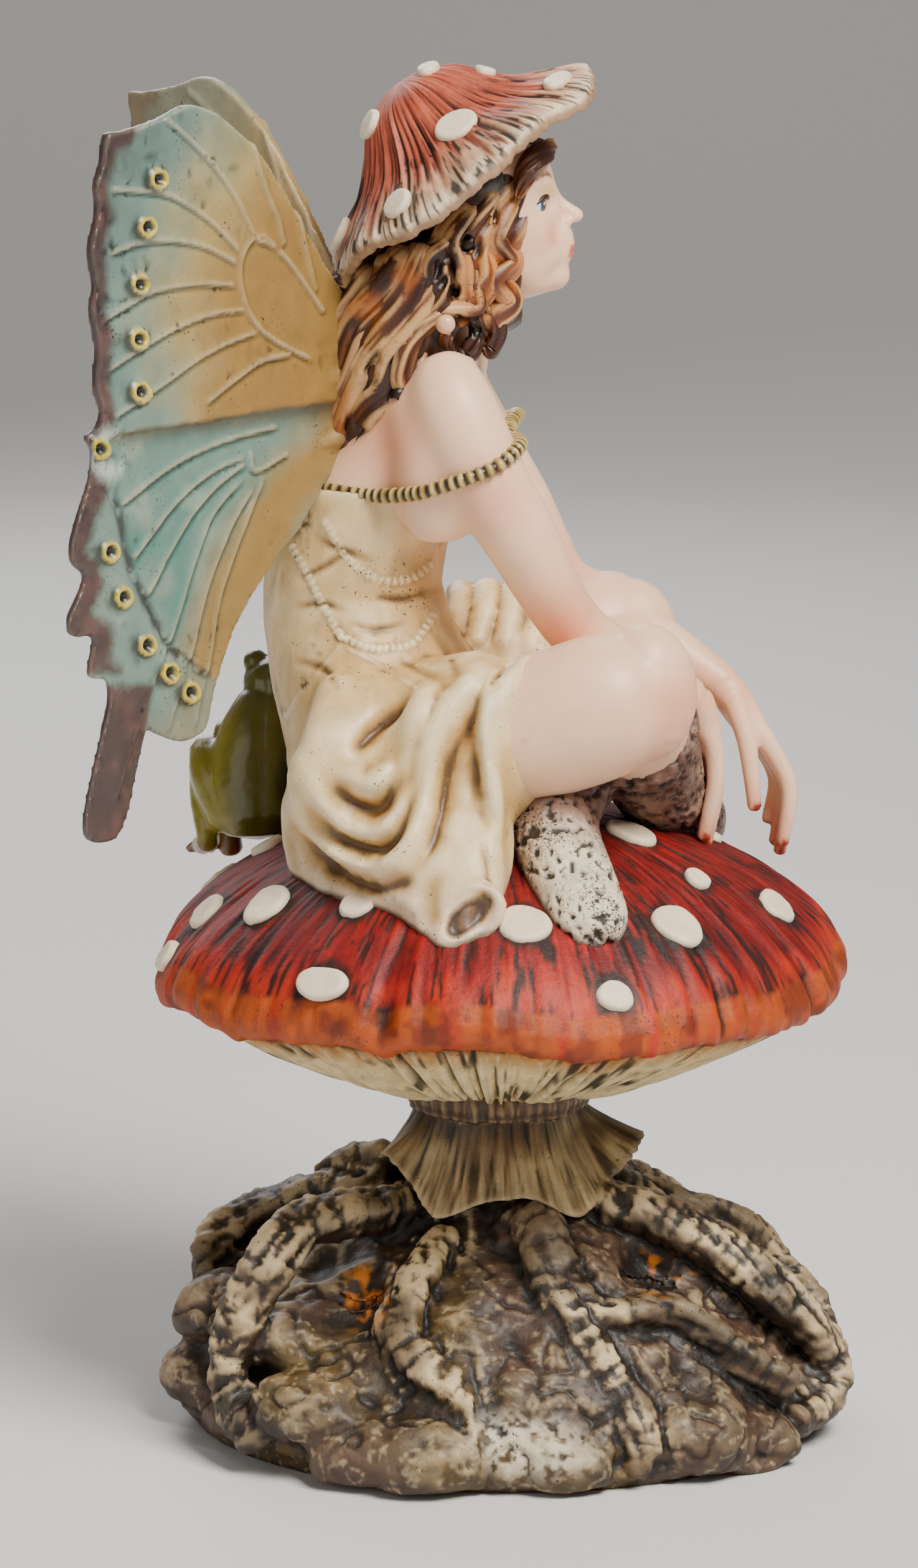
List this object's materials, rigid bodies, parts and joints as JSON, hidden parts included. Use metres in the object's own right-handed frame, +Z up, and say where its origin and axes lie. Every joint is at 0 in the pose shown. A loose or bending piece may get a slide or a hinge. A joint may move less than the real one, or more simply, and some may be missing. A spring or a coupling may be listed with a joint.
{
  "type": "fairy figurine",
  "caption": "Cast-resin garden figurine: a winged fairy in a toadstool hat sits on a large red toadstool over a root base, with a frog behind her",
  "frame": {"origin": "centre of the base's flat underside, on the axis of the toadstool's stalk", "axes": "+Z up, +X the way the fairy faces, +Y her left"},
  "size_m": [0.1361, 0.1217, 0.2397],
  "materials": {
    "bark_and_rock": "dry-brushed matt paint on cast resin",
    "red_cap": "satin paint on cast resin",
    "figure_paint": "satin paint on cast resin",
    "wing_paint": "satin paint on cast resin",
    "frog_green": "satin paint on cast resin"
  },
  "bodies": {
    "root": {"root_base": "bark_and_rock", "mushroom_cap": "red_cap", "fairy": "figure_paint", "wing_right": "wing_paint", "wing_left": "wing_paint", "frog": "frog_green"}
  },
  "joints": []
}
